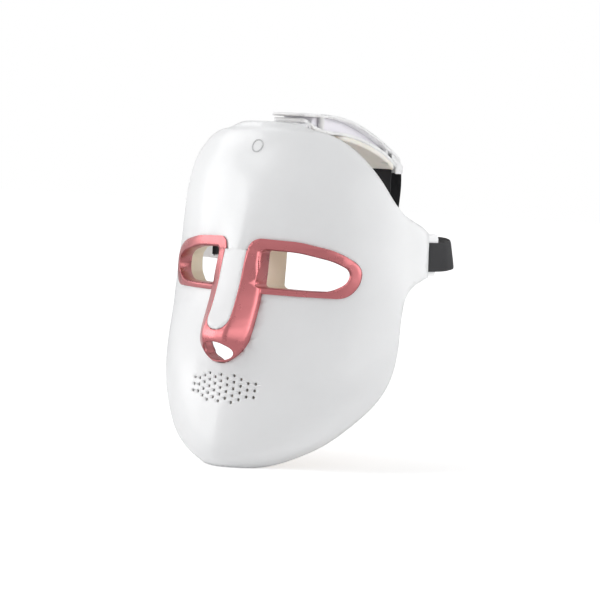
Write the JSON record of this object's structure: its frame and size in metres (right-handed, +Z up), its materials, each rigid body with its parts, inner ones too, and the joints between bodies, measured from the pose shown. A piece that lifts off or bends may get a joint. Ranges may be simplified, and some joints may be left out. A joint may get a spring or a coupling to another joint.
{
  "type": "led face mask",
  "caption": "Rigid full face light mask with a metallic eye and nose frame, a hinged head arch, straps to a rear buckle and lamps behind the shell.",
  "frame": {"origin": "centre of the wearer's head between the ears, where the part is held as worn", "axes": "+X wearer's left, -Y out of the front of the mask, +Z up"},
  "size_m": [0.1998, 0.2235, 0.2483],
  "materials": {
    "shell_white": "satin gloss white moulded plastic",
    "rose_metal": "rose pink metallised plastic",
    "mark_grey": "printed pale grey line",
    "board_red": "flexible light board",
    "lamp_lens": "clear lamp lens",
    "panel_beige": "translucent warm beige panel",
    "seal_beige": "soft silicone",
    "pad_cream": "soft cream silicone pad",
    "shield_beige": "soft tan silicone",
    "jack_black": "black moulded socket",
    "lug_white": "white moulded plastic",
    "screw_steel": "plain steel",
    "webbing_black": "fine ribbed elastic webbing",
    "hook_black": "hook-and-loop tape",
    "buckle_black": "black moulded buckle",
    "bracket_white": "white moulded bracket",
    "pin_steel": "ground steel",
    "arch_white": "gloss white moulded plastic",
    "core_lilac": "pale lilac grey plastic",
    "cell_wrap": "shrink wrap",
    "pcb_green": "solder mask",
    "chip_black": "moulded chip",
    "switch_black": "tact switch",
    "button_white": "satin push button",
    "lens_clear": "clear light pipe"
  },
  "bodies": {
    "mask": {"front_shell": "shell_white", "eye_nose_bezel": "rose_metal", "forehead_mark": "mark_grey", "light_board": "board_red", "light_emitters": "lamp_lens", "inner_panel": "panel_beige", "rim_seal": "seal_beige", "forehead_pad": "pad_cream", "eye_shield_left": "shield_beige", "eye_shield_right": "shield_beige", "charging_jack": "jack_black", "ear_lug_left": "lug_white", "ear_lug_right": "lug_white", "lug_screws": "screw_steel", "side_strap_left": "webbing_black", "side_strap_right": "webbing_black", "hook_tab_left": "hook_black", "hook_tab_right": "hook_black", "back_keeper": "buckle_black", "hinge_bracket": "bracket_white", "bracket_screws": "screw_steel", "hinge_pin": "pin_steel", "crown_strap": "webbing_black"},
    "arch": {"arch_top_cover": "arch_white", "arch_low_frame": "arch_white", "arch_core": "core_lilac", "arch_end_block": "arch_white", "arch_screws": "screw_steel", "arch_pad": "pad_cream", "battery": "cell_wrap", "control_board": "pcb_green", "board_chips": "chip_black", "button_switch": "switch_black", "status_lens": "lens_clear"},
    "button": {"power_button": "button_white"}
  },
  "joints": [
    {"name": "arch_tilt", "type": "hinge", "parent": "mask", "child": "arch", "pos_m": [0, -0.033, 0.0976], "axis": [-1, 0, 0], "range_deg": [-6, 20], "deforming": ["crown_strap"]},
    {"name": "power_press", "type": "slide", "parent": "arch", "child": "button", "axis": [1, 0, 0], "range_m": [0, 0.0008], "stiffness_N_per_m": 400, "springref_m": -0.0004}
  ]
}
